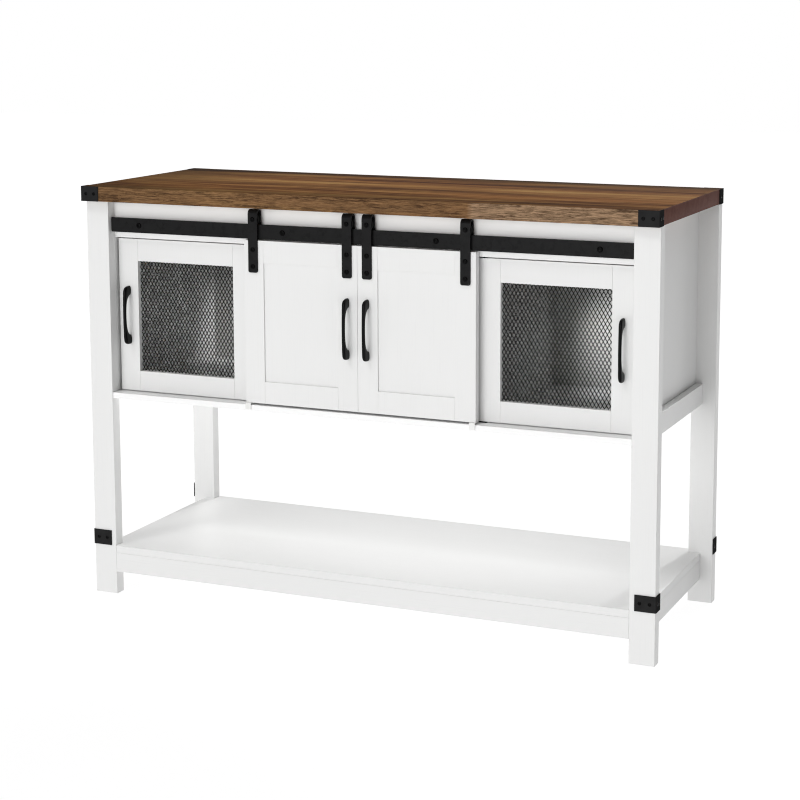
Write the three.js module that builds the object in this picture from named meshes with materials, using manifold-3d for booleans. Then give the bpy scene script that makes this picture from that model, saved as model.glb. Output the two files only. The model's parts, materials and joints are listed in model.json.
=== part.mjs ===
// Farmhouse sideboard buffet: a walnut slab top on four plank legs, a low cabinet with two sliding barn
// doors over its middle bay and a mesh door at each end, and an open shelf near the floor.
// Millimetres, +Z up. The front faces -Y. The origin is on the floor, under the middle of the top.
import * as THREE from 'three';
import { mergeVertices } from 'three/addons/utils/BufferGeometryUtils.js';
import Module from 'manifold-3d';

const wasm = await Module();
wasm.setup();

// ---------------------------------------------------------------- driving dimensions

const HEIGHT = 842;
const TOP = { width: 1196, depth: 446, thickness: 30 };
const LEG = { width: 50, depth: 25, setback: 15.5 };

const SHELF = { top: 102, thickness: 15, rail: 40 };
const SIDE_RAIL = { inset: 26, thickness: 15, height: 41 };
const CABINET = { bottom: 410, floor: 12, ledge: 2, side: 9, back: 4, backInset: 4 };
const DIVIDER = { x: 238, thickness: 12, doorGap: 5 };
const APRON = { drop: 74.5, thickness: 15, setback: 22 };

const TRACK = { halfLength: 546, bottom: 750, height: 29, thickness: 5, setback: 8 };
const TRACK_BOLT = { head: 6, headDepth: 2.5, bevel: 1.5, shank: 3, spacer: 6.5, hole: 3.3 };
const TRACK_BOLT_X = [-482, -161, 161, 482];

// Setbacks are measured from the front face of the front legs, positive into the cabinet.
const BARN = {
  inner: 0.2, outer: 243, bottom: 426, top: 748, thickness: 15, setback: 4,
  stile: 42, topRail: 43.5, bottomRail: 44, panel: 6, panelSetback: 3,
};
const GUIDE = { length: 12, plate: 1.5, lip: 2, lipBottom: 413, gap: 0.5, back: 17.5 };

const STRAP = {
  width: 20, thickness: 3, depth: 19, setback: 1, bottom: 685, chamfer: 3, backBottom: 778, crown: 808.5,
};
const STRAP_BOLT = { head: 5, headDepth: 2.5 };
const STRAP_BOLT_Z = [697, 730];
const HANGER_X = [21, 222.5];
const ROLLER = { axleZ: 789, axle: 3, bore: 3.3, tread: 9.7, flange: 12, bevel: 1, width: 11, rim: 2.5 };

const MESH_DOOR = {
  inner: 238.5, outer: 543.5, bottom: 424, top: 734.5, thickness: 15, setback: 29,
  stile: 44, topRail: 44.5, bottomRail: 41, sheet: 1.5, sheetSetback: 9,
};
const PIVOT = { x: 248, setback: 33, pin: 2, hole: 2.3, holeDepth: 11.5, reach: 10 };
const PIVOT_PLATE = { thickness: 1.5, halfWidth: 8, front: 6, back: 4 };
const CATCH = { width: 15, depth: 14, bottom: 712, height: 16, gap: 0.5 };

const HANDLE = { half: 59.5, reach: 22, grip: 7.5, foot: 19, width: 8, bevel: 1 };
const BARN_HANDLE_X = 21;
const MESH_HANDLE_X = 521;

const BRACKET = { sheet: 2, screw: 3.2, head: 1 };
const TOP_BRACKET = { front: 40, side: 26, frontScrews: [12.5, 31.5], sideScrews: [7.5, 19] };
const LEG_BRACKET = { front: 42, side: 25, frontScrews: [12.5, 31.5], sideScrews: [7, 18.5] };
const LEG_BRACKET_HEIGHT = 31;

// ---------------------------------------------------------------- planes worked out from them

const SIDE = TOP.width / 2;
const REAR = TOP.depth / 2;
const FRONT = -TOP.depth / 2 + LEG.setback;
const UNDER_TOP = HEIGHT - TOP.thickness;
const LEG_INNER = SIDE - LEG.width;
const FRONT_LEG_BACK = FRONT + LEG.depth;
const REAR_LEG_FRONT = REAR - LEG.depth;
const RAIL_OUTER = SIDE - SIDE_RAIL.inset;
const RAIL_INNER = RAIL_OUTER - SIDE_RAIL.thickness;
const SHELF_UNDER = SHELF.top - SHELF.thickness;
const SHELF_RAIL_BOTTOM = SHELF_UNDER - SHELF.rail;
const FLOOR_TOP = CABINET.bottom + CABINET.floor;
const LEDGE = FRONT + CABINET.ledge;
const BACK_PANEL_Y = REAR - CABINET.backInset - CABINET.back;
const APRON_BOTTOM = UNDER_TOP - APRON.drop;

// ---------------------------------------------------------------- materials

function paint(color, roughness, metalness = 0) {
  return new THREE.MeshStandardMaterial({ color, roughness, metalness });
}

const WHITE = paint(0xf1f1ef, 0.45);
const WHITE_INSIDE = paint(0xe9e9e7, 0.55);
const WALNUT = paint(0x6b432a, 0.5);
const BLACK_STEEL = paint(0x1d1d1e, 0.5, 0.6);
const BLACK_GLOSS = paint(0x111112, 0.25, 0.7);
const MESH_STEEL = paint(0x2b2b2c, 0.5, 0.7);
const WHITE_NYLON = paint(0xf4f4f2, 0.4);

// ---------------------------------------------------------------- shape helpers

/** A box between two values on each axis, in the order they come. */
function boxBetween(xs, ys, zs) {
  const [x, y, z] = [xs, ys, zs].map((pair) => [...pair].sort((a, b) => a - b));
  const geometry = new THREE.BoxGeometry(x[1] - x[0], y[1] - y[0], z[1] - z[0]);
  return geometry.translate((x[0] + x[1]) / 2, (y[0] + y[1]) / 2, (z[0] + z[1]) / 2);
}

/** An outline drawn in X and Z, given a thickness from y towards +Y. */
function slabAlongY(shape, y, thickness) {
  const geometry = new THREE.ExtrudeGeometry(shape, { depth: thickness, bevelEnabled: false });
  return geometry.rotateX(Math.PI / 2).translate(0, y + thickness, 0);
}

/** An outline drawn in Y and Z, given a width along X with x in its middle. */
function slabAlongX(shape, x, width, options = { bevelEnabled: false }) {
  const geometry = new THREE.ExtrudeGeometry(shape, { depth: width, ...options });
  const swap = new THREE.Matrix4().set(0, 0, 1, x - width / 2, 1, 0, 0, 0, 0, 1, 0, 0, 0, 0, 0, 1);
  return geometry.applyMatrix4(swap);
}

/** A closed outline through [u, v] points. */
function outline(points) {
  return new THREE.Shape(points.map(([u, v]) => new THREE.Vector2(u, v)));
}

function rectangle(u0, v0, u1, v1) {
  return [[u0, v0], [u1, v0], [u1, v1], [u0, v1]];
}

function circle(u, v, radius) {
  return new THREE.Path().absarc(u, v, radius, 0, Math.PI * 2, true);
}

/** A round solid about an axis along Y, from [radius, y] points that start and end on the axis. */
function turned(profile, x, z, segments = 24) {
  const points = profile.map(([radius, y]) => new THREE.Vector2(radius, y));
  return new THREE.LatheGeometry(points, segments).translate(x, 0, z);
}

/** A plain round bar between two ends on one axis. */
function bar(radius, axis, from, to, a, b, segments = 20) {
  const length = Math.abs(to - from);
  const middle = (from + to) / 2;
  const geometry = new THREE.CylinderGeometry(radius, radius, length, segments);
  if (axis === 'x') return geometry.rotateZ(Math.PI / 2).translate(middle, a, b);
  if (axis === 'z') return geometry.rotateX(Math.PI / 2).translate(a, b, middle);
  return geometry.translate(a, middle, b);
}

/** The manifold solid of a closed three.js geometry. */
function solid(geometry) {
  const bare = geometry.index ? geometry.toNonIndexed() : geometry.clone();
  bare.deleteAttribute('normal');
  bare.deleteAttribute('uv');
  const merged = mergeVertices(bare, 1e-4);
  const vertProperties = Float32Array.from(merged.attributes.position.array);
  const triVerts = dropSlivers(Uint32Array.from(merged.index.array));
  return new wasm.Manifold(new wasm.Mesh({ numProp: 3, vertProperties, triVerts }));
}

/** Leaves out triangles that use a vertex twice, as the ones at a lathe's poles do. */
function dropSlivers(indices) {
  const kept = [];
  for (let i = 0; i < indices.length; i += 3) {
    const [a, b, c] = indices.subarray(i, i + 3);
    if (a !== b && b !== c && c !== a) kept.push(a, b, c);
  }
  return Uint32Array.from(kept);
}

/** The three.js geometry of a manifold solid. */
function surface(manifold) {
  const { vertProperties, triVerts, numProp } = manifold.getMesh();
  const geometry = new THREE.BufferGeometry();
  const positions = new Float32Array((vertProperties.length / numProp) * 3);
  for (let i = 0; i < positions.length / 3; i += 1) {
    positions.set(vertProperties.subarray(i * numProp, i * numProp + 3), i * 3);
  }
  geometry.setAttribute('position', new THREE.BufferAttribute(positions, 3));
  geometry.setIndex(Array.from(triVerts));
  geometry.computeVertexNormals();
  return geometry;
}

function joined(first, ...others) {
  return surface(others.reduce((whole, geometry) => whole.add(solid(geometry)), solid(first)));
}

function cut(first, ...tools) {
  return surface(tools.reduce((whole, geometry) => whole.subtract(solid(geometry)), solid(first)));
}

const sideboard = new THREE.Group();

function add(name, geometry, material) {
  const mesh = new THREE.Mesh(geometry, material);
  mesh.name = name;
  sideboard.add(mesh);
}

/** The two sides of the piece: a name and the sign of its X. */
const SIDES = [['left', -1], ['right', 1]];

// ---------------------------------------------------------------- top, legs and corner brackets

function addTop() {
  add('tabletop', boxBetween([-SIDE, SIDE], [-REAR, REAR], [UNDER_TOP, HEIGHT]), WALNUT);
}

/**
 * An L of sheet steel round an outside corner at (x, y), with domed screws through both arms.
 * sx and sy point out of the corner; the front arm lies along X and the side arm along Y.
 */
function cornerBracket(x, y, sx, sy, bottom, height, arms) {
  const zs = [bottom, bottom + height];
  const outX = x + sx * BRACKET.sheet;
  const outY = y + sy * BRACKET.sheet;
  const middle = bottom + height / 2;
  const frontArm = boxBetween([x - sx * (arms.front - BRACKET.sheet), outX], [y, outY], zs);
  const sideArm = boxBetween([x, outX], [y - sy * arms.side, outY], zs);
  const frontScrews = arms.frontScrews.map((reach) => (
    bar(BRACKET.screw, 'y', outY - sy * 0.5, outY + sy * BRACKET.head, outX - sx * reach, middle, 12)
  ));
  const sideScrews = arms.sideScrews.map((reach) => (
    bar(BRACKET.screw, 'x', outX - sx * 0.5, outX + sx * BRACKET.head, outY - sy * reach, middle, 12)
  ));
  return joined(frontArm, sideArm, ...frontScrews, ...sideScrews);
}

function addLegsAndBrackets() {
  for (const [side, sx] of SIDES) {
    for (const [end, sy] of [['front', -1], ['rear', 1]]) {
      const outerY = sy < 0 ? FRONT : REAR;
      const name = `${end}_${side}`;
      const xs = [sx * LEG_INNER, sx * SIDE];
      add(`${name}_leg`, boxBetween(xs, [outerY, outerY - sy * LEG.depth], [0, UNDER_TOP]), WHITE);
      const top = cornerBracket(sx * SIDE, sy * REAR, sx, sy, UNDER_TOP, TOP.thickness, TOP_BRACKET);
      add(`${name}_top_bracket`, top, BLACK_STEEL);
      const low = cornerBracket(sx * SIDE, outerY, sx, sy, SHELF.top, LEG_BRACKET_HEIGHT, LEG_BRACKET);
      add(`${name}_leg_bracket`, low, BLACK_STEEL);
    }
  }
}

// ---------------------------------------------------------------- open shelf

function addShelf() {
  // The board is notched at its corners to pass between the legs.
  const x = [LEG_INNER, RAIL_OUTER];
  const plan = outline([
    [-x[0], FRONT], [x[0], FRONT], [x[0], FRONT_LEG_BACK], [x[1], FRONT_LEG_BACK],
    [x[1], REAR_LEG_FRONT], [x[0], REAR_LEG_FRONT], [x[0], REAR], [-x[0], REAR],
    [-x[0], REAR_LEG_FRONT], [-x[1], REAR_LEG_FRONT], [-x[1], FRONT_LEG_BACK], [-x[0], FRONT_LEG_BACK],
  ]);
  const board = new THREE.ExtrudeGeometry(plan, { depth: SHELF.thickness, bevelEnabled: false });
  add('lower_shelf', board.translate(0, 0, SHELF_UNDER), WHITE);

  const zs = [SHELF_RAIL_BOTTOM, SHELF_UNDER];
  const thick = SIDE_RAIL.thickness;
  add('shelf_front_rail', boxBetween([-LEG_INNER, LEG_INNER], [FRONT, FRONT + thick], zs), WHITE);
  add('shelf_rear_rail', boxBetween([-LEG_INNER, LEG_INNER], [REAR - thick, REAR], zs), WHITE);
  for (const [side, sx] of SIDES) {
    const rail = boxBetween([sx * RAIL_INNER, sx * RAIL_OUTER], [FRONT_LEG_BACK, REAR_LEG_FRONT], zs);
    add(`shelf_${side}_rail`, rail, WHITE);
  }
}

// ---------------------------------------------------------------- cabinet case

function addCase() {
  const zs = [CABINET.bottom, UNDER_TOP];
  const between = [FRONT_LEG_BACK, REAR_LEG_FRONT];
  for (const [side, sx] of SIDES) {
    const panel = boxBetween([sx * LEG_INNER, sx * (LEG_INNER + CABINET.side)], between, zs);
    add(`${side}_side_panel`, panel, WHITE);
    const railTop = CABINET.bottom + SIDE_RAIL.height;
    const rail = boxBetween([sx * RAIL_INNER, sx * RAIL_OUTER], between, [CABINET.bottom, railTop]);
    add(`${side}_side_rail`, rail, WHITE);
    const xs = [sx * DIVIDER.x, sx * (DIVIDER.x + DIVIDER.thickness)];
    const front = FRONT + MESH_DOOR.setback + MESH_DOOR.thickness + DIVIDER.doorGap;
    add(`${side}_divider`, boxBetween(xs, [front, BACK_PANEL_Y], [FLOOR_TOP, UNDER_TOP]), WHITE_INSIDE);
  }
  const wide = [-LEG_INNER, LEG_INNER];
  const backYs = [BACK_PANEL_Y, BACK_PANEL_Y + CABINET.back];
  add('cabinet_floor', boxBetween(wide, [LEDGE, BACK_PANEL_Y], [CABINET.bottom, FLOOR_TOP]), WHITE);
  add('back_panel', boxBetween(wide, backYs, zs), WHITE_INSIDE);
  const apronFront = FRONT + APRON.setback;
  const apron = boxBetween(wide, [apronFront, apronFront + APRON.thickness], [APRON_BOTTOM, UNDER_TOP]);
  add('front_apron', apron, WHITE);
}

// ---------------------------------------------------------------- barn track

function addTrack() {
  const y = FRONT + TRACK.setback;
  const z = TRACK.bottom + TRACK.height / 2;
  const back = y + TRACK.thickness;
  const wall = FRONT + APRON.setback;
  const { head, headDepth, bevel, shank, spacer, hole } = TRACK_BOLT;
  const top = TRACK.bottom + TRACK.height;
  const plate = outline(rectangle(-TRACK.halfLength, TRACK.bottom, TRACK.halfLength, top));
  plate.holes = TRACK_BOLT_X.map((x) => circle(x, z, hole));
  add('barn_track', slabAlongY(plate, y, TRACK.thickness), BLACK_STEEL);
  // Each bolt carries its own spacer, which holds the track off the apron.
  TRACK_BOLT_X.forEach((x, index) => {
    const profile = [
      [0, y - headDepth], [head - bevel, y - headDepth], [head, y - headDepth + bevel], [head, y],
      [shank, y], [shank, back], [spacer, back], [spacer, wall], [0, wall],
    ];
    add(`track_bolt_${index + 1}`, turned(profile, x, z, 20), BLACK_STEEL);
  });
}

// ---------------------------------------------------------------- handles

/** Points along a chain of cubic curves: its start, then three points for each curve. */
function cubicChain(points, steps) {
  const vectors = points.map(([u, v]) => new THREE.Vector2(u, v));
  const chain = [vectors[0]];
  for (let i = 0; i + 3 < vectors.length; i += 3) {
    const curve = new THREE.CubicBezierCurve(...vectors.slice(i, i + 4));
    chain.push(...curve.getPoints(steps).slice(1));
  }
  return chain.map((point) => [point.x, point.y]);
}

/** A bow pull standing upright at (x, z) on a door whose front face is at y. */
function bowHandle(x, y, z) {
  const { half, reach, grip, foot, width, bevel } = HANDLE;
  const inside = half - foot;
  const hollow = reach - grip;
  // The upper half, in steps out from the door and up from the middle: its outer edge, then its finger side.
  const outer = cubicChain([
    [0, half], [0.5 * reach, half], [0.78 * reach, half - 1], [0.9 * reach, half - 7],
    [0.97 * reach, half - 13], [reach, 24], [reach, 0],
  ], 6);
  const inner = cubicChain([[hollow, 0], [hollow, 0.7 * inside], [0.5 * hollow, inside], [0, inside]], 6);
  const lower = (chain) => chain.map(([out, up]) => [out, -up]).reverse();
  const loop = [...outer, ...lower(outer).slice(1), ...lower(inner), ...inner.slice(1)];
  const shape = outline(loop.map(([out, up]) => [y - out, z + up]));
  const rounding = { bevelEnabled: true, bevelThickness: bevel, bevelSize: bevel, bevelOffset: -bevel };
  return slabAlongX(shape, x, width - 2 * bevel, { ...rounding, bevelSegments: 1 });
}

// ---------------------------------------------------------------- barn doors

/** A shallow domed bolt head that faces -Y and is sunk a little way into the face at y. */
function domedHead({ head, headDepth }, x, y, z) {
  const sunk = y + 0.5;
  const dome = [[0, y - headDepth], [0.6 * head, y - 0.92 * headDepth], [0.92 * head, y - 0.52 * headDepth]];
  return turned([...dome, [head, sunk], [0, sunk]], x, z, 16);
}

/** A strap folded over its roller and down the back of the track, with its axle and two bolts. */
function strapHanger(x) {
  const front = FRONT + STRAP.setback;
  const back = front + STRAP.depth;
  const radius = STRAP.depth / 2;
  const bendZ = STRAP.crown - radius;
  const middle = front + radius;
  const overlap = 10;

  const bend = new THREE.Shape();
  bend.moveTo(front, bendZ - overlap);
  bend.lineTo(front, bendZ);
  bend.absarc(middle, bendZ, radius, Math.PI, 0, true);
  bend.lineTo(back, STRAP.backBottom);
  bend.lineTo(back - STRAP.thickness, STRAP.backBottom);
  bend.lineTo(back - STRAP.thickness, bendZ);
  bend.absarc(middle, bendZ, radius - STRAP.thickness, 0, Math.PI, false);
  bend.lineTo(front + STRAP.thickness, bendZ - overlap);

  const halfWidth = STRAP.width / 2;
  const { bottom, chamfer } = STRAP;
  const face = outline([
    [x - halfWidth + chamfer, bottom], [x + halfWidth - chamfer, bottom], [x + halfWidth, bottom + chamfer],
    [x + halfWidth, bendZ], [x - halfWidth, bendZ], [x - halfWidth, bottom + chamfer],
  ]);
  const axle = bar(ROLLER.axle, 'y', front, back, x, ROLLER.axleZ, 16);
  const heads = [ROLLER.axleZ, ...STRAP_BOLT_Z].map((z) => domedHead(STRAP_BOLT, x, front, z));
  const strap = slabAlongX(bend, x, STRAP.width, { bevelEnabled: false, curveSegments: 8 });
  return joined(strap, slabAlongY(face, front, STRAP.thickness), axle, ...heads);
}

/** A grooved wheel that runs on the top edge of the track. */
function roller(x) {
  const { tread, flange, bevel, bore, width, rim } = ROLLER;
  const front = FRONT + STRAP.setback + (STRAP.depth - width) / 2;
  const back = front + width;
  const profile = [
    [bore, front], [flange - bevel, front], [flange, front + bevel], [flange, front + rim],
    [tread, front + rim], [tread, back - rim],
    [flange, back - rim], [flange, back - bevel], [flange - bevel, back], [bore, back], [bore, front],
  ];
  return turned(profile, x, ROLLER.axleZ, 28);
}

function addBarnDoor(side, sx) {
  const front = FRONT + BARN.setback;
  const xs = [sx * BARN.inner, sx * BARN.outer].sort((a, b) => a - b);
  const hole = rectangle(
    xs[0] + BARN.stile, BARN.bottom + BARN.bottomRail, xs[1] - BARN.stile, BARN.top - BARN.topRail,
  );
  const rim = outline(rectangle(xs[0], BARN.bottom, xs[1], BARN.top));
  rim.holes = [outline(hole)];
  add(`${side}_barn_frame`, slabAlongY(rim, front, BARN.thickness), WHITE);

  const panelFront = front + BARN.panelSetback;
  const panelXs = [hole[0][0], hole[2][0]];
  const panelZs = [hole[0][1], hole[2][1]];
  add(`${side}_barn_panel`, boxBetween(panelXs, [panelFront, panelFront + BARN.panel], panelZs), WHITE);

  const middle = (BARN.bottom + BARN.top) / 2;
  add(`${side}_barn_handle`, bowHandle(sx * BARN_HANDLE_X, front, middle), BLACK_GLOSS);
  ['inner', 'outer'].forEach((place, index) => {
    const x = sx * HANGER_X[index];
    add(`${side}_barn_hanger_${place}`, strapHanger(x), BLACK_STEEL);
    add(`${side}_barn_roller_${place}`, roller(x), BLACK_STEEL);
  });
}

/** A nylon shoe under a barn door's outer corner, whose lip laps over the front edge of the cabinet floor. */
function addBarnGuide(side, sx) {
  const { length, plate, lip, lipBottom, gap, back } = GUIDE;
  const xs = [sx * (BARN.outer - length), sx * BARN.outer];
  const lipBack = LEDGE - gap;
  const sole = boxBetween(xs, [lipBack - lip, FRONT + back], [BARN.bottom - plate, BARN.bottom]);
  const edge = boxBetween(xs, [lipBack - lip, lipBack], [lipBottom, BARN.bottom]);
  add(`${side}_barn_guide`, joined(sole, edge), WHITE_NYLON);
}

// ---------------------------------------------------------------- mesh doors

function addMeshDoor(side, sx) {
  const front = FRONT + MESH_DOOR.setback;
  const pivotY = FRONT + PIVOT.setback;
  const pivotX = sx * PIVOT.x;
  const { bottom, top, stile, topRail, bottomRail } = MESH_DOOR;
  const xs = [sx * MESH_DOOR.inner, sx * MESH_DOOR.outer].sort((a, b) => a - b);
  const hole = rectangle(xs[0] + stile, bottom + bottomRail, xs[1] - stile, top - topRail);
  const rim = outline(rectangle(xs[0], bottom, xs[1], top));
  rim.holes = [outline(hole)];
  const past = 1;
  const bores = [
    bar(PIVOT.hole, 'z', bottom - past, bottom + PIVOT.holeDepth, pivotX, pivotY),
    bar(PIVOT.hole, 'z', top - PIVOT.holeDepth, top + past, pivotX, pivotY),
  ];
  add(`${side}_mesh_frame`, cut(slabAlongY(rim, front, MESH_DOOR.thickness), ...bores), WHITE);

  const sheetFront = front + MESH_DOOR.sheetSetback;
  const sheetYs = [sheetFront, sheetFront + MESH_DOOR.sheet];
  const sheet = boxBetween([hole[0][0], hole[2][0]], sheetYs, [hole[0][1], hole[2][1]]);
  add(`${side}_mesh_sheet`, sheet, MESH_STEEL);
  add(`${side}_mesh_handle`, bowHandle(sx * MESH_HANDLE_X, front, (bottom + top) / 2), BLACK_GLOSS);

  // The door turns on two short pins, one standing on the cabinet floor and one under the apron.
  const { thickness, halfWidth } = PIVOT_PLATE;
  const plateXs = [pivotX - halfWidth, pivotX + halfWidth];
  const plateYs = [pivotY - PIVOT_PLATE.front, pivotY + PIVOT_PLATE.back];
  const root = thickness / 2;
  const plates = [
    ['lower', [FLOOR_TOP, FLOOR_TOP + thickness], [FLOOR_TOP + root, bottom + PIVOT.reach]],
    ['upper', [APRON_BOTTOM - thickness, APRON_BOTTOM], [top - PIVOT.reach, APRON_BOTTOM - root]],
  ];
  for (const [place, plateZs, pinZs] of plates) {
    const pin = bar(PIVOT.pin, 'z', pinZs[0], pinZs[1], pivotX, pivotY);
    add(`${side}_mesh_pivot_${place}`, joined(boxBetween(plateXs, plateYs, plateZs), pin), BLACK_STEEL);
  }
}

/** A magnetic catch on the side panel, just behind the closed mesh door's outer stile. */
function addCatch(side, sx) {
  const front = FRONT + MESH_DOOR.setback + MESH_DOOR.thickness + CATCH.gap;
  const xs = [sx * (LEG_INNER - CATCH.width), sx * LEG_INNER];
  const zs = [CATCH.bottom, CATCH.bottom + CATCH.height];
  add(`${side}_catch`, boxBetween(xs, [front, front + CATCH.depth], zs), WHITE_NYLON);
}

addTop();
addLegsAndBrackets();
addShelf();
addCase();
addTrack();
for (const [side, sx] of SIDES) {
  addBarnDoor(side, sx);
  addBarnGuide(side, sx);
  addMeshDoor(side, sx);
  addCatch(side, sx);
}

export default sideboard;
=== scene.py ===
"""Farmhouse sideboard buffet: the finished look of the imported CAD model.

Every piece stands for one CAD node and takes its place and size from that node's box. Lengths are
in metres. The front faces -Y, the floor is z = 0, and MM turns millimetres into metres.
"""

import json
import math

import bmesh
import bpy
from mathutils import Matrix, Vector, noise


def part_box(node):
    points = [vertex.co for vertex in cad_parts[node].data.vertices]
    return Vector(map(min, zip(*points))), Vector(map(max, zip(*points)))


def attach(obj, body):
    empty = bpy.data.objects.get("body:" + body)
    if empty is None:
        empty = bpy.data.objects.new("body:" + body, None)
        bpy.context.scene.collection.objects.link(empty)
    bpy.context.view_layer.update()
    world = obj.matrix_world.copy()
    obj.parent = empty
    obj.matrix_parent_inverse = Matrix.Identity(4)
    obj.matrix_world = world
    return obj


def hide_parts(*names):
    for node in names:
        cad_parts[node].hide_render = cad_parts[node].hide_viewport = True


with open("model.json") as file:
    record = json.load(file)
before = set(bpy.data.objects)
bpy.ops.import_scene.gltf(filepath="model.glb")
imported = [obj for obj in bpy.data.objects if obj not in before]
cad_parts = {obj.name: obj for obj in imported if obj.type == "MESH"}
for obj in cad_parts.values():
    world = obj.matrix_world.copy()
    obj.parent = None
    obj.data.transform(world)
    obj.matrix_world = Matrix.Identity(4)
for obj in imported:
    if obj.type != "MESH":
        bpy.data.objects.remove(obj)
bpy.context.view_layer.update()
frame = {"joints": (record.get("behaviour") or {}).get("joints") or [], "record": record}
RECORD = frame["record"]
BODY_OF = {node: body for body, nodes in RECORD["behaviour"]["bodies"].items() for node in nodes}
JOINT = {joint["name"]: joint for joint in frame["joints"]}

MM = 0.001
SIDES = (("left", -1), ("right", 1))
# Radii of the visible fastener heads.
BRACKET_SCREW = 3.4 * MM
TRACK_BOLT = 5.6 * MM
HANGER_BOLT = 4.8 * MM

# ---------------------------------------------------------------- camera

# Turn and tilt are in degrees, the lens is in millimetres, and the shift is a share of the frame.
CAMERA_PLACE = (1.535, -3.453, 1.207)
CAMERA_TURN = 22.53
CAMERA_TILT = 8.01
CAMERA_LENS = 85.82
CAMERA_SHIFT = (-0.06, -0.1625)


def add_camera():
    """A long-lens camera that stands to the right of the piece and looks a little down on it."""
    data = bpy.data.cameras.new("camera")
    data.lens = CAMERA_LENS
    data.sensor_width = 36
    data.shift_x, data.shift_y = CAMERA_SHIFT
    camera = bpy.data.objects.new("camera", data)
    camera.location = CAMERA_PLACE
    camera.rotation_euler = (math.radians(90 - CAMERA_TILT), 0, math.radians(CAMERA_TURN))
    bpy.context.scene.collection.objects.link(camera)
    bpy.context.scene.camera = camera


# ---------------------------------------------------------------- shader helpers


class Shader:
    """A material built round one Principled shader, with short ways to add and join nodes."""

    def __init__(self, name, **sockets):
        self.material = bpy.data.materials.new(name)
        self.material.use_nodes = True
        self.nodes = self.material.node_tree.nodes
        self.links = self.material.node_tree.links
        self.principled = self.nodes["Principled BSDF"]
        for socket, value in sockets.items():
            self.principled.inputs[socket.replace("_", " ")].default_value = value
        self.place = self.nodes.new("ShaderNodeTexCoord").outputs["Object"]

    def put(self, source, node, socket):
        """Joins an output to a socket, or sets the socket to a plain value."""
        target = node.inputs[socket]
        if isinstance(source, bpy.types.NodeSocket):
            self.links.new(source, target)
        else:
            target.default_value = source

    def scaled(self, factors, offset):
        """The object's coordinates, times a factor on each axis and moved by an offset."""
        node = self.nodes.new("ShaderNodeMapping")
        self.put(self.place, node, "Vector")
        node.inputs["Scale"].default_value = factors
        node.inputs["Location"].default_value = offset
        return node.outputs["Vector"]

    def noise(self, factors, detail=4.0, roughness=0.55, distortion=0.0, offset=(0, 0, 0)):
        """Fractal noise from 0 to 1, with so many waves to the metre along each axis."""
        node = self.nodes.new("ShaderNodeTexNoise")
        self.put(self.scaled(factors, offset), node, "Vector")
        node.inputs["Scale"].default_value = 1.0
        node.inputs["Detail"].default_value = detail
        node.inputs["Roughness"].default_value = roughness
        node.inputs["Distortion"].default_value = distortion
        return node.outputs["Fac"]

    def ramp(self, value, stops):
        """A colour ramp through (position, colour) stops, where a colour may be one grey level."""
        node = self.nodes.new("ShaderNodeValToRGB")
        self.put(value, node, "Fac")
        elements = node.color_ramp.elements
        while len(elements) < len(stops):
            elements.new(1.0)
        for element, (position, colour) in zip(elements, stops):
            element.position = position
            grey = isinstance(colour, (int, float))
            element.color = (colour,) * 3 + (1,) if grey else (*colour, 1)
        return node.outputs["Color"]

    def math(self, operation, a, b=0.0):
        node = self.nodes.new("ShaderNodeMath")
        node.operation = operation
        self.put(a, node, 0)
        self.put(b, node, 1)
        return node.outputs[0]

    def weighted(self, *terms):
        """The sum of some values, each times its own weight."""
        total = None
        for value, weight in terms:
            share = self.math("MULTIPLY", value, weight)
            total = share if total is None else self.math("ADD", total, share)
        return total

    def span(self, value, low, high, start=0.0, end=1.0):
        """A value between start and end, spread between low and high and held there outside them."""
        node = self.nodes.new("ShaderNodeMapRange")
        self.put(value, node, "Value")
        for socket, bound in (("From Min", start), ("From Max", end), ("To Min", low), ("To Max", high)):
            node.inputs[socket].default_value = bound
        return node.outputs["Result"]

    def mixed(self, factor, a, b, blend="MIX"):
        """The first colour at factor 0, passing into the second at factor 1."""
        node = self.nodes.new("ShaderNodeMix")
        node.data_type = "RGBA"
        node.blend_type = blend
        for socket, source in ((0, factor), (6, a), (7, b)):
            if isinstance(source, tuple) and len(source) == 3:
                source = (*source, 1)
            self.put(source, node, socket)
        return node.outputs[2]

    def times(self, a, b):
        """One colour or grey multiplied by another."""
        return self.mixed(1.0, a, b, "MULTIPLY")

    def axes(self, vector):
        """The three parts of a vector, by the names X, Y and Z."""
        node = self.nodes.new("ShaderNodeSeparateXYZ")
        self.put(vector, node, "Vector")
        return node.outputs

    def bump(self, height, strength, distance, under=None):
        """Fine relief from a height, over the relief of another bump if there is one under it."""
        node = self.nodes.new("ShaderNodeBump")
        node.inputs["Strength"].default_value = strength
        node.inputs["Distance"].default_value = distance
        self.put(height, node, "Height")
        if under is not None:
            self.put(under, node, "Normal")
        return node.outputs["Normal"]

    def done(self, colour, roughness, normal):
        """Joins the finished patterns to the shader, and hands back the material."""
        for source, socket in ((colour, "Base Color"), (roughness, "Roughness"), (normal, "Normal")):
            self.put(source, self.principled, socket)
        return self.material


def along(axis, long, across):
    """Stretch factors that are small along one axis, so that a pattern runs that way."""
    return tuple(long if letter == axis else across for letter in "xyz")


# ---------------------------------------------------------------- materials


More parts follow.
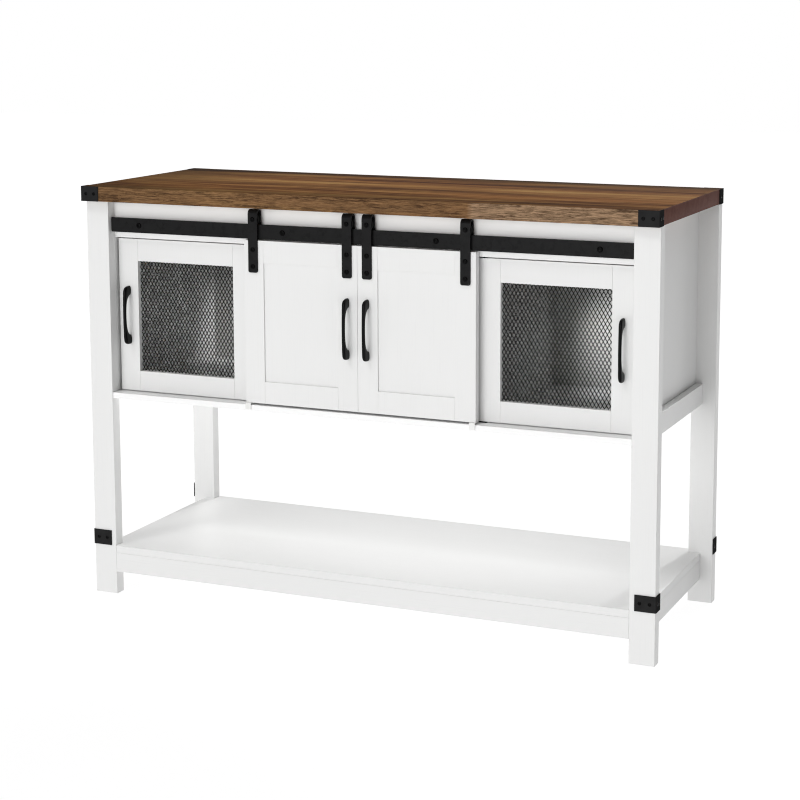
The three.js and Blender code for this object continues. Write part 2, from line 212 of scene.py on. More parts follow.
def white_paint(name, axis, tone=(0.80, 0.80, 0.795), rough=(0.34, 0.46)):
    """Satin paint over board: grain that runs along one axis, fine orange peel and uneven sheen."""
    look = Shader(name, Specular_IOR_Level=0.35)
    grain = look.noise(along(axis, 9, 420), detail=5, roughness=0.6, distortion=0.4)
    cloud = look.noise(along(axis, 1.5, 7), detail=3)
    peel = look.noise((1500, 1500, 1500), detail=2)
    shade = look.ramp(cloud, ((0.3, tuple(0.975 * c for c in tone)), (0.7, tone)))
    fibre = look.ramp(grain, ((0.30, 0.98), (0.46, 1.0)))
    sheen = look.weighted((grain, 0.35), (cloud, 0.65))
    relief = look.bump(peel, 0.10, 0.06 * MM, under=look.bump(grain, 0.12, 0.2 * MM))
    return look.done(look.times(shade, fibre), look.span(sheen, *rough), relief)


def walnut(name):
    """Dark-figured walnut with grain along X, rough-sawn long edges and plain, darker ends."""
    look = Shader(name, Specular_IOR_Level=0.025)
    low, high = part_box("tabletop")
    place = look.axes(look.place)
    normal = look.axes(look.nodes.new("ShaderNodeNewGeometry").outputs["Normal"])
    bands = look.noise((0.85, 13, 13), detail=6, roughness=0.58, distortion=0.6, offset=(0.31, 0.0, 0.0))
    figure = look.noise((2.4, 48, 48), detail=6, roughness=0.65, distortion=1.0)
    lines = look.noise((5, 210, 210), detail=4, roughness=0.7, distortion=0.25)
    pore = look.noise((38, 820, 820), detail=2, roughness=0.6)
    warmth = look.noise((0.9, 7, 7), detail=3, offset=(2.0, 5.0, 1.0))

    wood = look.ramp(look.weighted((bands, 0.50), (figure, 0.34), (lines, 0.16)), (
        (0.38, (0.030, 0.011, 0.004)), (0.44, (0.098, 0.041, 0.013)), (0.49, (0.182, 0.082, 0.026)),
        (0.55, (0.240, 0.126, 0.041)), (0.64, (0.312, 0.188, 0.072)),
    ))
    redder = look.times(wood, (1.0, 0.84, 0.80))
    wood = look.mixed(look.ramp(warmth, ((0.46, 0.0), (0.64, 0.7))), wood, redder)
    wood = look.times(wood, look.ramp(lines, ((0.32, 0.60), (0.58, 1.12))))
    wood = look.times(wood, look.ramp(pore, ((0.30, 0.5), (0.42, 1.0))))

    # The board is darker at its left end and in wavering bands along both edges, and paler between them.
    waver = look.math("ADD", place["Y"], look.span(figure, -12 * MM, 12 * MM))
    off_middle = look.math("ABSOLUTE", look.math("ADD", waver, 30 * MM))
    wood = look.times(wood, look.span(waver, 1.04, 0.48, high.y - 65 * MM, high.y - 35 * MM))
    wood = look.times(wood, look.span(waver, 0.66, 1.0, low.y + 7 * MM, low.y + 60 * MM))
    wood = look.times(wood, look.span(off_middle, 1.32, 1.0, 60 * MM, 160 * MM))
    wood = look.times(wood, look.span(place["X"], 0.48, 1.0, low.x, low.x + 280 * MM))

    # Short dark tears lie in clusters along the sawn edges, between raised pale fibres.
    tear = look.noise((34, 20, 520), detail=5, roughness=0.75, distortion=0.1)
    cluster = look.noise((12, 9, 60), detail=3)
    tear = look.ramp(tear, ((0.505, 0.0), (0.55, 1.0)))
    torn = look.math("MULTIPLY", tear, look.ramp(cluster, ((0.40, 0.25), (0.58, 1.0))))
    fibre = look.noise((52, 20, 640), detail=4, roughness=0.75)
    paler = look.span(place["X"], 0.0, 0.8, 232 * MM, 244 * MM)
    sawn = look.mixed(0.6, wood, (0.250, 0.142, 0.070))
    sawn = look.mixed(paler, sawn, (0.335, 0.218, 0.132))
    sawn = look.times(sawn, look.ramp(fibre, ((0.34, 0.55), (0.50, 1.0), (0.66, 1.45))))
    sawn = look.mixed(look.math("MULTIPLY", torn, 0.8), sawn, (0.036, 0.018, 0.010))
    plain = look.times(look.ramp(figure, ((0.35, 0.85), (0.62, 1.08))), (0.135, 0.066, 0.054))

    # A face belongs to a long edge or an end by the way that it looks.
    facing = 0.55
    edge = look.math("GREATER_THAN", look.math("ABSOLUTE", normal["Y"]), facing)
    end = look.math("GREATER_THAN", look.math("ABSOLUTE", normal["X"]), facing)
    colour = look.mixed(end, look.mixed(edge, wood, sawn), plain)
    height = look.math("SUBTRACT", look.math("MULTIPLY", lines, 0.4), look.math("MULTIPLY", torn, edge))
    height = look.math("ADD", height, look.math("MULTIPLY", pore, 0.5))
    rough = look.span(look.weighted((lines, 0.5), (bands, 0.5)), 0.55, 0.8)
    return look.done(colour, rough, look.bump(height, 0.6, 0.5 * MM))


def black_metal(name, tone, rough, grit, gloss):
    """Black coated steel: a grainy skin, with rubbed, smoother patches."""
    look = Shader(name, Specular_IOR_Level=gloss)
    cloud = look.noise((60, 60, 60), detail=4)
    skin = look.noise((2200, 2200, 2200), detail=2, roughness=0.7)
    colour = look.ramp(cloud, ((0.35, tuple(0.8 * c for c in tone)), (0.65, tone)))
    sheen = look.weighted((cloud, 0.7), (skin, 0.3))
    return look.done(colour, look.span(sheen, *rough), look.bump(skin, grit, 0.12 * MM))


def nylon(name):
    """White moulded nylon with a fine spark texture."""
    look = Shader(name, Specular_IOR_Level=0.4)
    spark = look.noise((1800, 1800, 1800), detail=2)
    cloud = look.noise((90, 90, 90), detail=2)
    colour = look.ramp(cloud, ((0.3, (0.79, 0.79, 0.77)), (0.7, (0.84, 0.84, 0.825))))
    return look.done(colour, look.span(cloud, 0.34, 0.5), look.bump(spark, 0.2, 0.08 * MM))


def studio_floor(name):
    """A pale acrylic table top that is also lit from below, as for product pictures."""
    glow = (0.93, 0.93, 0.93, 1)
    look = Shader(name, Specular_IOR_Level=0.05, Emission_Color=glow, Emission_Strength=1.0)
    cloud = look.noise((1.4, 1.4, 1.4), detail=3)
    grit = look.noise((260, 260, 260), detail=2)
    colour = look.ramp(cloud, ((0.3, 0.10), (0.7, 0.12)))
    return look.done(colour, look.span(cloud, 0.7, 0.8), look.bump(grit, 0.05, 0.2 * MM))


WHITE = {axis: white_paint(f"white_paint_{axis}", axis) for axis in "xyz"}
# Painted light: a brighter copy of the white paint, for the apron and the cabinet floor, lifts the shade that
# the top's overhang casts on them.
PAINTED_LIGHT_WHITE = white_paint("white_paint_painted_light", "x", (0.95, 0.95, 0.945))
# Painted shade: a darker copy of the white paint, for the dividers and the back panel, stands in for the
# shade inside the closed bays.
SHADED_INSIDE = {axis: white_paint(f"white_inside_painted_shade_{axis}", axis, (0.70, 0.70, 0.695), (0.5, 0.62)) for axis in "xz"}
WALNUT = walnut("walnut_board")
STEEL = black_metal("black_powder_coat", (0.013, 0.013, 0.0133), rough=(0.22, 0.34), grit=0.25, gloss=0.06)
PLATE = black_metal("black_plate_coat", (0.024, 0.024, 0.0243), rough=(0.30, 0.40), grit=0.25, gloss=0.0)
SCREW = black_metal("black_screw", (0.003, 0.003, 0.0031), rough=(0.10, 0.16), grit=0.03, gloss=0.05)
LACQUER = black_metal("black_lacquer", (0.004, 0.004, 0.0043), rough=(0.12, 0.22), grit=0.05, gloss=0.09)
MESH_COAT = black_metal("black_mesh_coat", (0.007, 0.007, 0.0073), rough=(0.36, 0.52), grit=0.2, gloss=0.08)
NYLON = nylon("white_nylon")

# ---------------------------------------------------------------- shape helpers


def made(name, bm, material, nodes, edge=0.0, segments=2, sharp=40):
    """Makes a bmesh into the piece that stands for some CAD nodes, with its edges rounded."""
    bmesh.ops.recalc_face_normals(bm, faces=bm.faces)
    mesh = bpy.data.meshes.new(name)
    bm.to_mesh(mesh)
    bm.free()
    mesh.materials.append(material)
    mesh.shade_smooth()
    piece = bpy.data.objects.new(name, mesh)
    bpy.context.scene.collection.objects.link(piece)
    if edge:
        rounding = piece.modifiers.new("rounded_edges", "BEVEL")
        rounding.width = edge
        rounding.segments = segments
        rounding.limit_method = "ANGLE"
        rounding.angle_limit = math.radians(sharp)
        rounding.harden_normals = True
    else:
        mesh.set_sharp_from_angle(angle=math.radians(sharp))
    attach(piece, BODY_OF[nodes[0]])
    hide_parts(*nodes)


def add_box(bm, low, high):
    """A block between two corners."""
    low, high = Vector(low), Vector(high)
    size = high - low
    matrix = Matrix.Translation((low + high) / 2) @ Matrix.Diagonal((*size, 1))
    bmesh.ops.create_cube(bm, size=1, matrix=matrix)


def on_axis(axis, u, v, w):
    """A point at (u, v) across an axis and w along it."""
    return {"x": (w, u, v), "y": (u, w, v), "z": (u, v, w)}[axis]


def add_prism(bm, outline, axis, low, high):
    """An outline across an axis, made solid between two heights along it."""
    rings = [[bm.verts.new(on_axis(axis, u, v, w)) for u, v in outline] for w in (low, high)]
    add_solid(bm, rings)


def add_solid(bm, rings):
    """Joins rings of equal length with quads, and closes both ends."""
    for ring, following in zip(rings, rings[1:]):
        for i in range(len(ring)):
            j = (i + 1) % len(ring)
            bm.faces.new((ring[i], ring[j], following[j], following[i]))
    bm.faces.new(rings[0])
    bm.faces.new(rings[-1])


def add_turned(bm, profile, centre, direction, segments=28):
    """A round form about a direction, from (radius, height) pairs. A radius may change with the angle."""
    turn = Vector((0, 0, 1)).rotation_difference(Vector(direction)).to_matrix()
    centre = Vector(centre)
    rings = []
    for radius, height in profile:
        if radius == 0:
            rings.append([bm.verts.new(centre + turn @ Vector((0, 0, height)))])
            continue
        ring = []
        for i in range(segments):
            angle = 2 * math.pi * i / segments
            reach = radius(angle) if callable(radius) else radius
            point = Vector((reach * math.cos(angle), reach * math.sin(angle), height))
            ring.append(bm.verts.new(centre + turn @ point))
        rings.append(ring)
    for ring, following in zip(rings, rings[1:]):
        for i in range(segments):
            j = (i + 1) % segments
            if len(ring) == 1:
                bm.faces.new((ring[0], following[j], following[i]))
            elif len(following) == 1:
                bm.faces.new((ring[i], ring[j], following[0]))
            else:
                bm.faces.new((ring[i], ring[j], following[j], following[i]))


def hexagon(flat):
    """The radius of a hexagon at an angle, from half its width across flats."""
    sixth = math.pi / 3
    return lambda angle: flat / math.cos(angle % sixth - sixth / 2)


def add_screw_head(bm, centre, direction, radius, height):
    """A domed head with a hexagon socket, sunk a little into the face it sits on."""
    socket = 0.42 * radius
    profile = (
        (0, -0.3 * height), (radius, -0.3 * height), (radius, 0.30 * height), (0.95 * radius, 0.58 * height),
        (0.82 * radius, 0.83 * height), (0.64 * radius, 0.97 * height), (0.55 * radius, height),
        (hexagon(socket), 0.97 * height), (hexagon(0.95 * socket), 0.25 * height), (0, 0.15 * height),
    )
    add_turned(bm, profile, centre, direction, segments=24)


# ---------------------------------------------------------------- top


def add_tabletop():
    """One slab whose long arrises are worn a little unevenly, as on rough-sawn wood."""
    low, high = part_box("tabletop")
    arris = 1.6 * MM
    wear = 0.7 * MM
    arc_steps = 3
    count = 300
    end_steps = (0.0, 0.35, 1.0)
    stations = [low.x + arris * share for share in end_steps]
    stations += [low.x + arris + (high.x - low.x - 2 * arris) * i / count for i in range(1, count)]
    stations += [high.x - arris * share for share in reversed(end_steps)]
    bm = bmesh.new()
    rings = []
    for x in stations:
        from_end = min(x - low.x, high.x - x)
        inset = arris - math.sqrt(max(0.0, arris**2 - (arris - min(from_end, arris)) ** 2))
        ring = []
        for corner, (side_y, side_z) in enumerate(((-1, -1), (1, -1), (1, 1), (-1, 1))):
            rough = wear * abs(noise.noise(Vector((x * 38, corner * 7.3, 0.4))))
            rough += 0.4 * wear * abs(noise.noise(Vector((x * 160, corner * 3.1, 2.6))))
            radius = arris + rough
            centre_y = (high.y if side_y > 0 else low.y) - side_y * (radius + inset)
            centre_z = (high.z if side_z > 0 else low.z) - side_z * (radius + inset)
            start = math.atan2(side_z, side_y) - math.pi / 4
            for step in range(arc_steps + 1):
                angle = start + math.pi / 2 * step / arc_steps
                y = centre_y + radius * math.cos(angle)
                z = centre_z + radius * math.sin(angle)
                ring.append(bm.verts.new((x, y, z)))
        rings.append(ring)
    add_solid(bm, rings)
    made("tabletop_slab", bm, WALNUT, ["tabletop"])


# ---------------------------------------------------------------- boards


def add_board(node, material, edge=0.8 * MM):
    """A board the size of its node, with its arrises softened by an edge radius if it has one."""
    bm = bmesh.new()
    add_box(bm, *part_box(node))
    made(f"{node}_board", bm, material, [node], edge)


def add_shelf_board():
    """The lower shelf, notched round the legs."""
    low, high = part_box("lower_shelf")
    front_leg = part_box("front_right_leg")
    rear_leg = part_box("rear_right_leg")
    notch_x, front, rear = front_leg[0].x, front_leg[1].y, rear_leg[0].y
    half = [
        (notch_x, low.y), (notch_x, front), (high.x, front),
        (high.x, rear), (notch_x, rear), (notch_x, high.y),
    ]
    outline = half + [(-x, y) for x, y in reversed(half)]
    bm = bmesh.new()
    add_prism(bm, outline, "z", low.z, high.z)
    made("lower_shelf_board", bm, WHITE["x"], ["lower_shelf"], 0.8 * MM)


def add_case():
    """The legs, panels, rails, dividers and shelves that make up the cabinet."""
    for end in ("front", "rear"):
        for side, _ in SIDES:
            add_board(f"{end}_{side}_leg", WHITE["z"], 1.0 * MM)
    for side, _ in SIDES:
        add_board(f"{side}_side_panel", WHITE["z"], 0.4 * MM)
        add_board(f"{side}_side_rail", WHITE["y"])
        # The dividers take the darker white: painted shade for the inside of the bays.
        add_board(f"{side}_divider", SHADED_INSIDE["z"])
        add_board(f"shelf_{side}_rail", WHITE["y"])
    # The apron and the cabinet floor take the brighter white: painted light over the shade under the top.
    for node in ("cabinet_floor", "front_apron"):
        add_board(node, PAINTED_LIGHT_WHITE)
    for node in ("shelf_front_rail", "shelf_rear_rail"):
        add_board(node, WHITE["x"])
    # The back panel takes the darker white: painted shade for the inside of the bays.
    add_board("back_panel", SHADED_INSIDE["x"], 0.3 * MM)
    add_shelf_board()


# ---------------------------------------------------------------- corner brackets


def add_bracket(node, sign_x, sign_y, sheet=2.0 * MM, proud=1.0 * MM):
    """An L of black sheet with a rounded bend, and two screws through each arm."""
    low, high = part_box(node)
    # The CAD box takes in the screw heads, so the sheet's own outer faces lie a head's height inside it.
    corner_x = (high.x if sign_x > 0 else low.x) - sign_x * proud
    corner_y = (high.y if sign_y > 0 else low.y) - sign_y * proud
    reach_x = (high.x - low.x) - proud
    reach_y = (high.y - low.y) - proud
    bend, arc_steps = 2.4 * MM, 5
    arc = [math.pi / 2 * i / arc_steps for i in range(arc_steps + 1)]
    outer = [(bend - bend * math.sin(a), bend - bend * math.cos(a)) for a in arc]
    outline = [(reach_x, 0)] + outer + [(0, reach_y), (sheet, reach_y), (sheet, sheet), (reach_x, sheet)]
    bm = bmesh.new()
    points = [(corner_x - sign_x * u, corner_y - sign_y * v) for u, v in outline]
    add_prism(bm, points, "z", low.z, high.z)
    made(f"{node}_plate", bm, PLATE, [node], 0.35 * MM, sharp=50)
    bm = bmesh.new()
    middle = (low.z + high.z) / 2
    for share in (0.30, 0.76):
        front = (corner_x - sign_x * share * reach_x, corner_y, middle)
        add_screw_head(bm, front, (0, sign_y, 0), BRACKET_SCREW, proud)
        flank = (corner_x, corner_y - sign_y * share * reach_y, middle)
        add_screw_head(bm, flank, (sign_x, 0, 0), BRACKET_SCREW, proud)
    made(f"{node}_screws", bm, SCREW, [node])


def add_brackets():
    """One bracket on each corner of the top, and one on each leg at the height of the shelf."""
    for side, sign_x in SIDES:
        for end, sign_y in (("front", -1), ("rear", 1)):
            for level in ("top", "leg"):
                add_bracket(f"{end}_{side}_{level}_bracket", sign_x, sign_y)


# ---------------------------------------------------------------- track


def add_track():
    """The flat bar, and for each of its bolts a head in front and a spacer behind."""
    bar_low, bar_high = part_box("barn_track")
    bm = bmesh.new()
    add_box(bm, bar_low, bar_high)
    made("barn_track_bar", bm, STEEL, ["barn_track"], 0.6 * MM, segments=3)
    for index in range(1, 5):
        node = f"track_bolt_{index}"
        low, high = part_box(node)
        x, z = (low.x + high.x) / 2, (low.z + high.z) / 2
        bm = bmesh.new()
        add_screw_head(bm, (x, bar_low.y, z), (0, -1, 0), TRACK_BOLT, bar_low.y - low.y)
        made(f"{node}_head", bm, SCREW, [node])
        bm = bmesh.new()
        spacer = (high.x - low.x) / 2
        gap = high.y - bar_high.y
        lip = 0.8 * MM
        profile = (
            (0, 0), (spacer - lip, 0), (spacer, lip), (spacer, gap - lip), (spacer - lip, gap), (0, gap),
        )
        add_turned(bm, profile, (x, bar_high.y, z), (0, 1, 0))
        made(f"{node}_spacer", bm, STEEL, [node])


# ---------------------------------------------------------------- bow pulls


def bezier(points, t):
    """A place on a cubic curve, at a share t of the way from its first point to its last."""
    a, b, c, d = (Vector(p) for p in points)
    left = 1 - t
    return a * left**3 + b * (3 * left * left * t) + c * (3 * left * t * t) + d * t**3


def chain(points, steps=10):
    """Places along joined cubic curves, each of which starts at the last point of the one before."""
    places = [Vector(points[0])]
    for first in range(0, len(points) - 1, 3):
        places += [bezier(points[first:first + 4], step / steps) for step in range(1, steps + 1)]
    return places


def evened(places, count):
    """The same path in equal steps."""
    lengths = [0.0]
    for here, following in zip(places, places[1:]):
        lengths.append(lengths[-1] + (following - here).length)
    even = []
    segment = 0
    for i in range(count + 1):
        wanted = lengths[-1] * i / count
        while segment < len(places) - 2 and lengths[segment + 1] < wanted:
            segment += 1
        share = (wanted - lengths[segment]) / (lengths[segment + 1] - lengths[segment])
        even.append(places[segment].lerp(places[segment + 1], share))
    return even


def add_handle(node):
    """A cast bow pull: two deep flared feet on the door, drawn out into a slimmer bow."""
    low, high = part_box(node)
    middle_x, middle_z = (low.x + high.x) / 2, (low.z + high.z) / 2
    face = high.y
    reach, half, width = high.y - low.y, (high.z - low.z) / 2, (high.x - low.x) / 2
    foot, bow, waist, slim_from = 19 * MM, 6.4 * MM, 0.25, 0.6
    inside, hollow = half - foot, reach - bow
    # Each point is a distance out from the door and a height above the middle.
    outer = chain((
        (0, half), (0.5 * reach, half), (0.78 * reach, half - 1 * MM), (0.9 * reach, half - 7 * MM),
        (0.97 * reach, half - 13 * MM), (reach, 24 * MM), (reach, 0),
    ))
    inner = chain(((0, inside), (0.5 * hollow, inside), (hollow, 0.7 * inside), (hollow, 0)))
    steps = 26
    stations = []
    for i, (out, back) in enumerate(zip(evened(outer, steps), evened(inner, steps))):
        slim = min(1.0, i / (slim_from * steps))
        broad = width * (1.0 - waist * slim * slim * (3 - 2 * slim))
        stations.append(((out + back) / 2, (out - back) / 2, broad))
    stations += [(Vector((p.x, -p.y)), Vector((d.x, -d.y)), broad) for p, d, broad in reversed(stations[:-1])]
    bm = bmesh.new()
    rings = []
    around = 24
    squareness = 0.72
    for place, deep, broad in stations:
        ring = []
        for k in range(around):
            angle = 2 * math.pi * k / around
            towards = math.copysign(abs(math.cos(angle)) ** squareness, math.cos(angle))
            aside = math.copysign(abs(math.sin(angle)) ** squareness, math.sin(angle))
            point = place + deep * towards
            ring.append(bm.verts.new((middle_x + broad * aside, face - point.x, middle_z + point.y)))
        rings.append(ring)
    add_solid(bm, rings)
    made(f"{node}_pull", bm, LACQUER, [node], sharp=60)


# ---------------------------------------------------------------- doors


def add_door_frame(node, opening_node, name):
    """Two stiles of full height with a rail between them at the top and the bottom."""
    low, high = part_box(node)
    hole_low, hole_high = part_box(opening_node)
    joint = 0.12 * MM
    bm = bmesh.new()
    add_box(bm, low, (hole_low.x, high.y, high.z))
    add_box(bm, (hole_high.x, low.y, low.z), high)
    add_box(bm, (hole_low.x + joint, low.y, low.z), (hole_high.x - joint, high.y, hole_low.z))
    add_box(bm, (hole_low.x + joint, low.y, hole_high.z), (hole_high.x - joint, high.y, high.z))
    made(name, bm, WHITE["z"], [node], 0.4 * MM)


def add_expanded_sheet(node, wide=7.75 * MM, tall=12.86 * MM, strand=1.45 * MM, gauge=0.9 * MM):
    """Expanded steel: staggered diamonds whose strands meet in short upright bonds."""
    low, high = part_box(node)
    columns = 2 * round((high.x - low.x) / wide)
    rows = 2 * round((high.z - low.z) / tall)
    step_x = (high.x - low.x) / columns
    step_z = (high.z - low.z) / rows
    middle = (low.y + high.y) / 2
    bond = 0.10 * 2 * step_z
    tuck = 0.6 * bond / 2
    lean = 0.2
    bm = bmesh.new()

    def add_strand(start, end, width, tilt):
        """A flat bar between two points, its face turned a little out of the sheet by the tilt."""
        run = (end - start).normalized()
        across = Vector((run.z, 0, -run.x))
        face = (across + Vector((0, tilt, 0))).normalized() * width / 2
        back = Vector((0, gauge / 2, 0))
        corners = (face + back, face - back, -face - back, -face + back)
        rings = [[bm.verts.new(tip + corner) for corner in corners] for tip in (start, end)]
        add_solid(bm, rings)

    for i in range(columns + 1):
        for j in range(rows + 1):
            if (i + j) % 2:
                continue
            x, z = low.x + i * step_x, low.z + j * step_z
            bottom = max(low.z, z - bond / 2)
            top = min(high.z, z + bond / 2)
            add_strand(Vector((x, middle, bottom)), Vector((x, middle, top)), 1.3 * strand, 0.0)
            if i == columns:
                continue
            for rise, leaning in ((1, lean), (-1, -lean)):
                if not 0 <= j + rise <= rows:
                    continue
                start = Vector((x, middle, z + rise * tuck))
                end = Vector((x + step_x, middle, z + rise * (step_z - tuck)))
                add_strand(start, end, strand, leaning)
    made(f"{node}_expanded", bm, MESH_COAT, [node], sharp=30)


def add_pivot(node, hinge_name, upward):
    """A plate fixed flat, with the pin that a mesh door turns on."""
    low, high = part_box(node)
    hinge = Vector(JOINT[hinge_name]["pos_m"])
    plate, pin = 1.5 * MM, 2.0 * MM
    plate_z = (low.z, low.z + plate) if upward else (high.z - plate, high.z)
    bm = bmesh.new()
    add_box(bm, (low.x, low.y, plate_z[0]), (high.x, high.y, plate_z[1]))
    tip = high.z - plate_z[1] if upward else plate_z[0] - low.z
    start = plate_z[1] if upward else plate_z[0]
    nose = 0.5 * MM
    profile = ((0, -nose), (pin, -nose), (pin, tip - nose), (pin - nose, tip), (0, tip))
    add_turned(bm, profile, (hinge.x, hinge.y, start), (0, 0, 1 if upward else -1), segments=20)
    made(f"{node}_plate_and_pin", bm, STEEL, [node], 0.25 * MM)


def add_mesh_door(side):
    """A framed sheet of expanded steel with its pull, its two pivots and its catch."""
    add_door_frame(f"{side}_mesh_frame", f"{side}_mesh_sheet", f"{side}_mesh_frame_stiles_and_rails")
    add_expanded_sheet(f"{side}_mesh_sheet")
    add_handle(f"{side}_mesh_handle")
    add_pivot(f"{side}_mesh_pivot_lower", f"{side}_mesh_hinge", True)
    add_pivot(f"{side}_mesh_pivot_upper", f"{side}_mesh_hinge", False)
    add_catch(f"{side}_catch")


def add_catch(node):
    """A magnetic catch: a moulded case with two steel pole plates at its front."""
    low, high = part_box(node)
    bm = bmesh.new()
    case_front = low.y + 0.8 * MM
    add_box(bm, (low.x, case_front, low.z), high)
    pole = 1.2 * MM
    for share in (0.30, 0.70):
        z = low.z + share * (high.z - low.z)
        add_box(bm, (low.x + 2 * MM, low.y, z - pole / 2), (high.x - 2 * MM, case_front, z + pole / 2))
    made(f"{node}_case", bm, NYLON, [node], 0.4 * MM)


def add_hanger(node, roller_node):
    """A strap folded over its roller: front plate, bend and short back leg, with three bolts."""
    low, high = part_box(node)
    roller_low, roller_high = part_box(roller_node)
    axle_z = (roller_low.z + roller_high.z) / 2
    middle_x = (low.x + high.x) / 2
    strap, width, head, back_leg = 3.0 * MM, (high.x - low.x) / 2, 2.5 * MM, 11 * MM
    front, back = low.y + head, high.y
    bend = (back - front - strap) / 2
    centre_y = (front + back) / 2
    bend_z = high.z - bend - strap / 2
    corner, corner_steps, bend_steps = 4.0 * MM, 4, 16

    # Each station is a place on the strap's middle line, the way its outer face looks, and its half width.
    stations = []
    outward = Vector((0, -1, 0))
    for step in range(corner_steps + 1):
        angle = math.pi / 2 * step / corner_steps
        z = low.z + corner * (1 - math.cos(angle))
        stations.append((Vector((0, front + strap / 2, z)), outward, width - corner * (1 - math.sin(angle))))
    for share in (0.35, 0.7):
        z = low.z + corner + share * (bend_z - low.z - corner)
        stations.append((Vector((0, front + strap / 2, z)), outward, width))
    for step in range(bend_steps + 1):
        angle = math.pi * step / bend_steps
        facing = Vector((0, -math.cos(angle), math.sin(angle)))
        stations.append((Vector((0, centre_y, bend_z)) + facing * bend, facing, width))
    stations.append((Vector((0, back - strap / 2, axle_z - back_leg)), Vector((0, 1, 0)), width))

    bm = bmesh.new()
    rings = []
    for place, facing, half in stations:
        ring = []
        for side, depth in ((-1, 1), (1, 1), (1, -1), (-1, -1)):
            point = place + facing * (depth * strap / 2)
            ring.append(bm.verts.new((middle_x + side * half, point.y, point.z)))
        rings.append(ring)
    add_solid(bm, rings)
    axle = 3.0 * MM
    length = back - front - strap
    profile = ((0, 0), (axle, 0), (axle, length), (0, length))
    add_turned(bm, profile, (middle_x, front + strap / 2, axle_z), (0, 1, 0), segments=20)
    made(f"{node}_strap", bm, STEEL, [node], 0.5 * MM, sharp=35)
    bm = bmesh.new()
    for z in (low.z + 12 * MM, low.z + 45 * MM, axle_z):
        add_screw_head(bm, (middle_x, front, z), (0, -1, 0), HANGER_BOLT, 0.9 * head)
    made(f"{node}_bolts", bm, SCREW, [node])


def add_roller(node):
    """A grooved wheel with rounded flanges."""
    low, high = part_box(node)
    centre = ((low.x + high.x) / 2, low.y, (low.z + high.z) / 2)
    flange, wide = (high.z - low.z) / 2, high.y - low.y
    tread, bore, rim, soft = 9.7 * MM, 3.3 * MM, 2.5 * MM, 0.8 * MM
    hub = 6.0 * MM
    dish = 0.6 * MM
    half = [
        (bore, 0), (hub, 0), (hub + dish, dish), (flange - 2 * soft, dish), (flange - soft, 0.1 * MM),
        (flange - 0.2 * MM, 0.5 * soft), (flange, soft), (flange, rim - 0.3 * MM), (flange - 0.5 * MM, rim),
        (tread, rim + 0.1 * MM),
    ]
    profile = half + [(radius, wide - depth) for radius, depth in reversed(half)] + [(bore, 0)]
    bm = bmesh.new()
    add_turned(bm, profile, centre, (0, 1, 0), segments=40)
    bmesh.ops.remove_doubles(bm, verts=bm.verts, dist=1e-6)
    made(f"{node}_wheel", bm, STEEL, [node], sharp=35)


def add_barn_guide(node):
    """A nylon shoe: a sole under the door's corner and a lip over the front edge of the cabinet floor."""
    low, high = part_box(node)
    sole, lip = 1.5 * MM, 2.0 * MM
    bm = bmesh.new()
    outline = [
        (low.y, low.z), (low.y + lip, low.z), (low.y + lip, high.z - sole), (high.y, high.z - sole),
        (high.y, high.z), (low.y, high.z),
    ]
    add_prism(bm, outline, "x", low.x, high.x)
    made(f"{node}_shoe", bm, NYLON, [node], 0.4 * MM)


def add_barn_door(side):
    """A framed panel with its pull and guide, hung from two rollers by their straps."""
    add_door_frame(f"{side}_barn_frame", f"{side}_barn_panel", f"{side}_barn_frame_stiles_and_rails")
    add_board(f"{side}_barn_panel", WHITE["z"], edge=0.0)
    add_handle(f"{side}_barn_handle")
    add_barn_guide(f"{side}_barn_guide")
    for place in ("inner", "outer"):
        add_hanger(f"{side}_barn_hanger_{place}", f"{side}_barn_roller_{place}")
        add_roller(f"{side}_barn_roller_{place}")


# ---------------------------------------------------------------- studio


def add_floor():
    """A wide flat floor under the piece."""
    bm = bmesh.new()
    bmesh.ops.create_grid(bm, x_segments=8, y_segments=8, size=14)
    mesh = bpy.data.meshes.new("studio_floor")
    bm.to_mesh(mesh)
    bm.free()
    mesh.materials.append(studio_floor("studio_floor"))
    floor = bpy.data.objects.new("studio_floor", mesh)
    bpy.context.scene.collection.objects.link(floor)


def add_sun(name, azimuth, elevation, strength, softness):
    """A wide, even light. Azimuth 0 is in front of the piece and 90 is to its right, in degrees."""
    data = bpy.data.lights.new(name, "SUN")
    data.energy = strength
    data.angle = math.radians(softness)
    light = bpy.data.objects.new(name, data)
    turn, rise = math.radians(azimuth), math.radians(elevation)
    source = Vector((math.sin(turn) * math.cos(rise), -math.cos(turn) * math.cos(rise), math.sin(rise)))
    light.location = 3 * source
    light.rotation_euler = source.to_track_quat("Z", "Y").to_euler()
    bpy.context.scene.collection.objects.link(light)


def add_shelf_card(power):
    """A wide soft card close under the cabinet, which lights the shelf below it."""
    clearance = 4 * MM
    low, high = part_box("cabinet_floor")
    data = bpy.data.lights.new("shelf_card", "AREA")
    data.shape = "RECTANGLE"
    data.size, data.size_y = high.x - low.x, 0.95 * (high.y - low.y)
    data.energy = power
    light = bpy.data.objects.new("shelf_card", data)
    light.location = ((low.x + high.x) / 2, (low.y + high.y) / 2, low.z - clearance)
    light.visible_camera = False
    bpy.context.scene.collection.objects.link(light)


def add_bay_card(side, sign, depth, towards, power):
    """A small soft card beside a divider, which sends its light to the outer rear corner of the bay."""
    width, height, clearance = 40 * MM, 90 * MM, 40 * MM
    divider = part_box(f"{side}_divider")
    low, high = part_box(f"{side}_mesh_sheet")
    data = bpy.data.lights.new(f"{side}_bay_card", "AREA")
    data.shape = "RECTANGLE"
    data.size, data.size_y = width, height
    data.energy = power
    data.spread = math.radians(80)
    light = bpy.data.objects.new(f"{side}_bay_card", data)
    beside = max(abs(corner.x) for corner in divider) + clearance
    light.location = (sign * beside, high.y + depth, (low.z + high.z) / 2)
    aim = Vector((sign * towards[0], towards[1], towards[2]))
    light.rotation_euler = (-aim).to_track_quat("Z", "Y").to_euler()
    light.visible_camera = False
    bpy.context.scene.collection.objects.link(light)


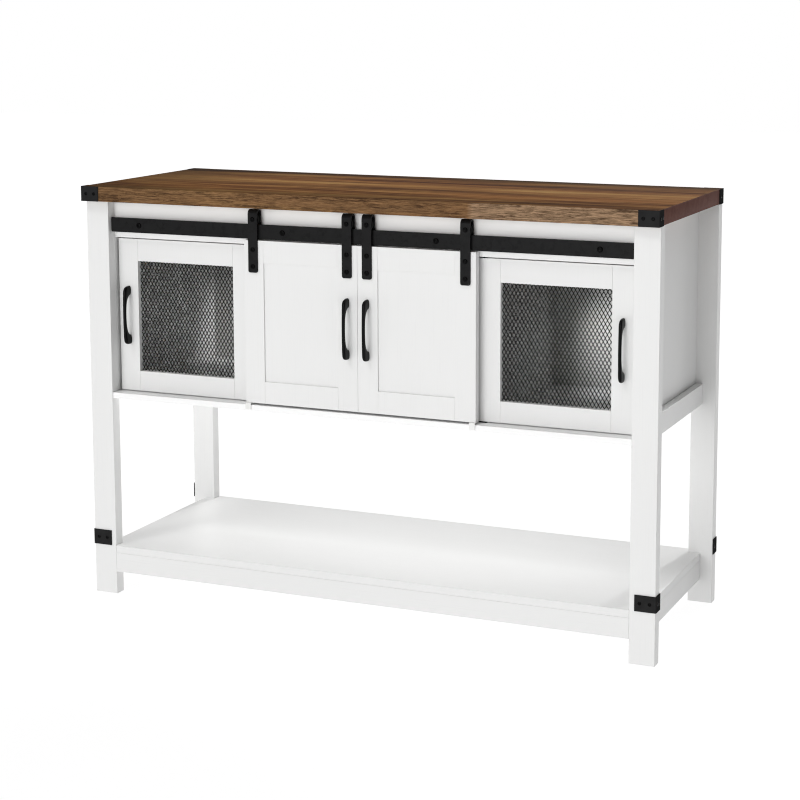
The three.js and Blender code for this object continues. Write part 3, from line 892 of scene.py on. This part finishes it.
def add_studio():
    """The floor, the lights and a white room."""
    add_floor()
    add_sun("front_key", azimuth=-8, elevation=6, strength=1.26, softness=30)
    add_sun("front_left", azimuth=-24, elevation=50, strength=0.50, softness=12)
    add_sun("rear_key", azimuth=172, elevation=36, strength=0.80, softness=36)
    add_sun("rear_rim", azimuth=172.5, elevation=24, strength=1.0, softness=2)
    add_sun("overhead_fill", azimuth=0, elevation=88, strength=0.60, softness=90)
    add_shelf_card(power=0.62)
    add_bay_card("left", -1, depth=330 * MM, towards=(0.80, 0.52, -0.40), power=0.12)
    add_bay_card("right", 1, depth=230 * MM, towards=(0.66, 0.72, -0.35), power=0.08)

    world = bpy.data.worlds.new("studio")
    bpy.context.scene.world = world
    world.use_nodes = True
    nodes, links = world.node_tree.nodes, world.node_tree.links
    # The room is soft white all round, except that the side to the right is flagged off.
    split = nodes.new("ShaderNodeSeparateXYZ")
    links.new(nodes.new("ShaderNodeTexCoord").outputs["Generated"], split.inputs[0])
    flag = nodes.new("ShaderNodeMapRange")
    flag.interpolation_type = "SMOOTHSTEP"
    links.new(split.outputs["X"], flag.inputs["Value"])
    for socket, value in (("From Min", 0.0), ("From Max", 0.6), ("To Min", 0.28), ("To Max", 0.01)):
        flag.inputs[socket].default_value = value
    room = nodes["Background"]
    links.new(flag.outputs["Result"], room.inputs["Strength"])
    room.inputs["Color"].default_value = (1, 1, 1, 1)
    backdrop = nodes.new("ShaderNodeBackground")
    backdrop.inputs["Color"].default_value = (1, 1, 1, 1)
    chosen = nodes.new("ShaderNodeMixShader")
    links.new(nodes.new("ShaderNodeLightPath").outputs["Is Camera Ray"], chosen.inputs[0])
    links.new(room.outputs[0], chosen.inputs[1])
    links.new(backdrop.outputs[0], chosen.inputs[2])
    links.new(chosen.outputs[0], nodes["World Output"].inputs["Surface"])
    bpy.context.scene.view_settings.view_transform = "Standard"
    bpy.context.scene.cycles.filter_width = 1.1


add_camera()
add_studio()
add_tabletop()
add_case()
add_brackets()
add_track()
for side, _ in SIDES:
    add_barn_door(side)
    add_mesh_door(side)
